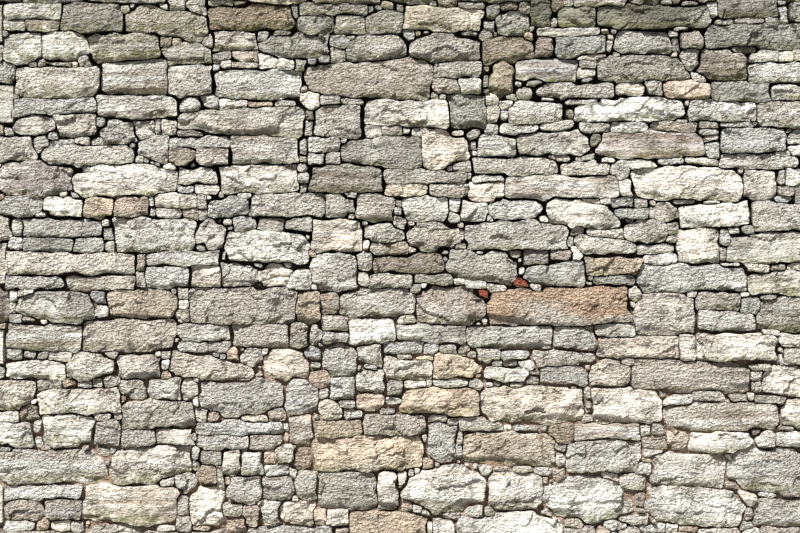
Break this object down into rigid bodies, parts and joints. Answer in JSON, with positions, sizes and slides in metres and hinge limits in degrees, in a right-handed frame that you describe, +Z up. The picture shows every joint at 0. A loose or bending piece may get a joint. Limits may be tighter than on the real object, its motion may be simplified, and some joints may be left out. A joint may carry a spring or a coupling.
{
  "type": "dry stone wall",
  "caption": "Free-standing double dry stone wall of flat rubble brought to rough courses, with a hearting core, through stones, bonded wall heads and a slab coping.",
  "frame": {"origin": "on the ground, at the middle of the wall's length and thickness", "axes": "+X along the wall, -Y out of the pictured face, +Z up"},
  "size_m": [4, 0.9, 2.49],
  "materials": {
    "face_stone": "rough split faces, weathered pale cream, grey and tan",
    "through_stone": "rough split faces, weathered",
    "head_stone": "roughly squared with a hammer, weathered",
    "hearting": "small angular rubble with earth washed in",
    "coping_stone": "flat split slabs, grey, with algae and lichen"
  },
  "bodies": {
    "root": {"front_lift_1": "face_stone", "front_lift_2": "face_stone", "front_lift_3": "face_stone", "front_lift_4": "face_stone", "back_lift_1": "face_stone", "back_lift_2": "face_stone", "back_lift_3": "face_stone", "back_lift_4": "face_stone", "hearting_1": "hearting", "hearting_2": "hearting", "hearting_3": "hearting", "hearting_4": "hearting", "lower_through_1": "through_stone", "lower_through_2": "through_stone", "lower_through_3": "through_stone", "middle_through_1": "through_stone", "middle_through_2": "through_stone", "upper_through_1": "through_stone", "upper_through_2": "through_stone", "upper_through_3": "through_stone", "left_head_ties": "head_stone", "left_head_runners": "head_stone", "right_head_ties": "head_stone", "right_head_runners": "head_stone", "coping_slab_1": "coping_stone", "coping_slab_2": "coping_stone", "coping_slab_3": "coping_stone", "coping_slab_4": "coping_stone", "coping_slab_5": "coping_stone", "coping_slab_6": "coping_stone", "coping_slab_7": "coping_stone", "coping_slab_8": "coping_stone"}
  },
  "joints": []
}
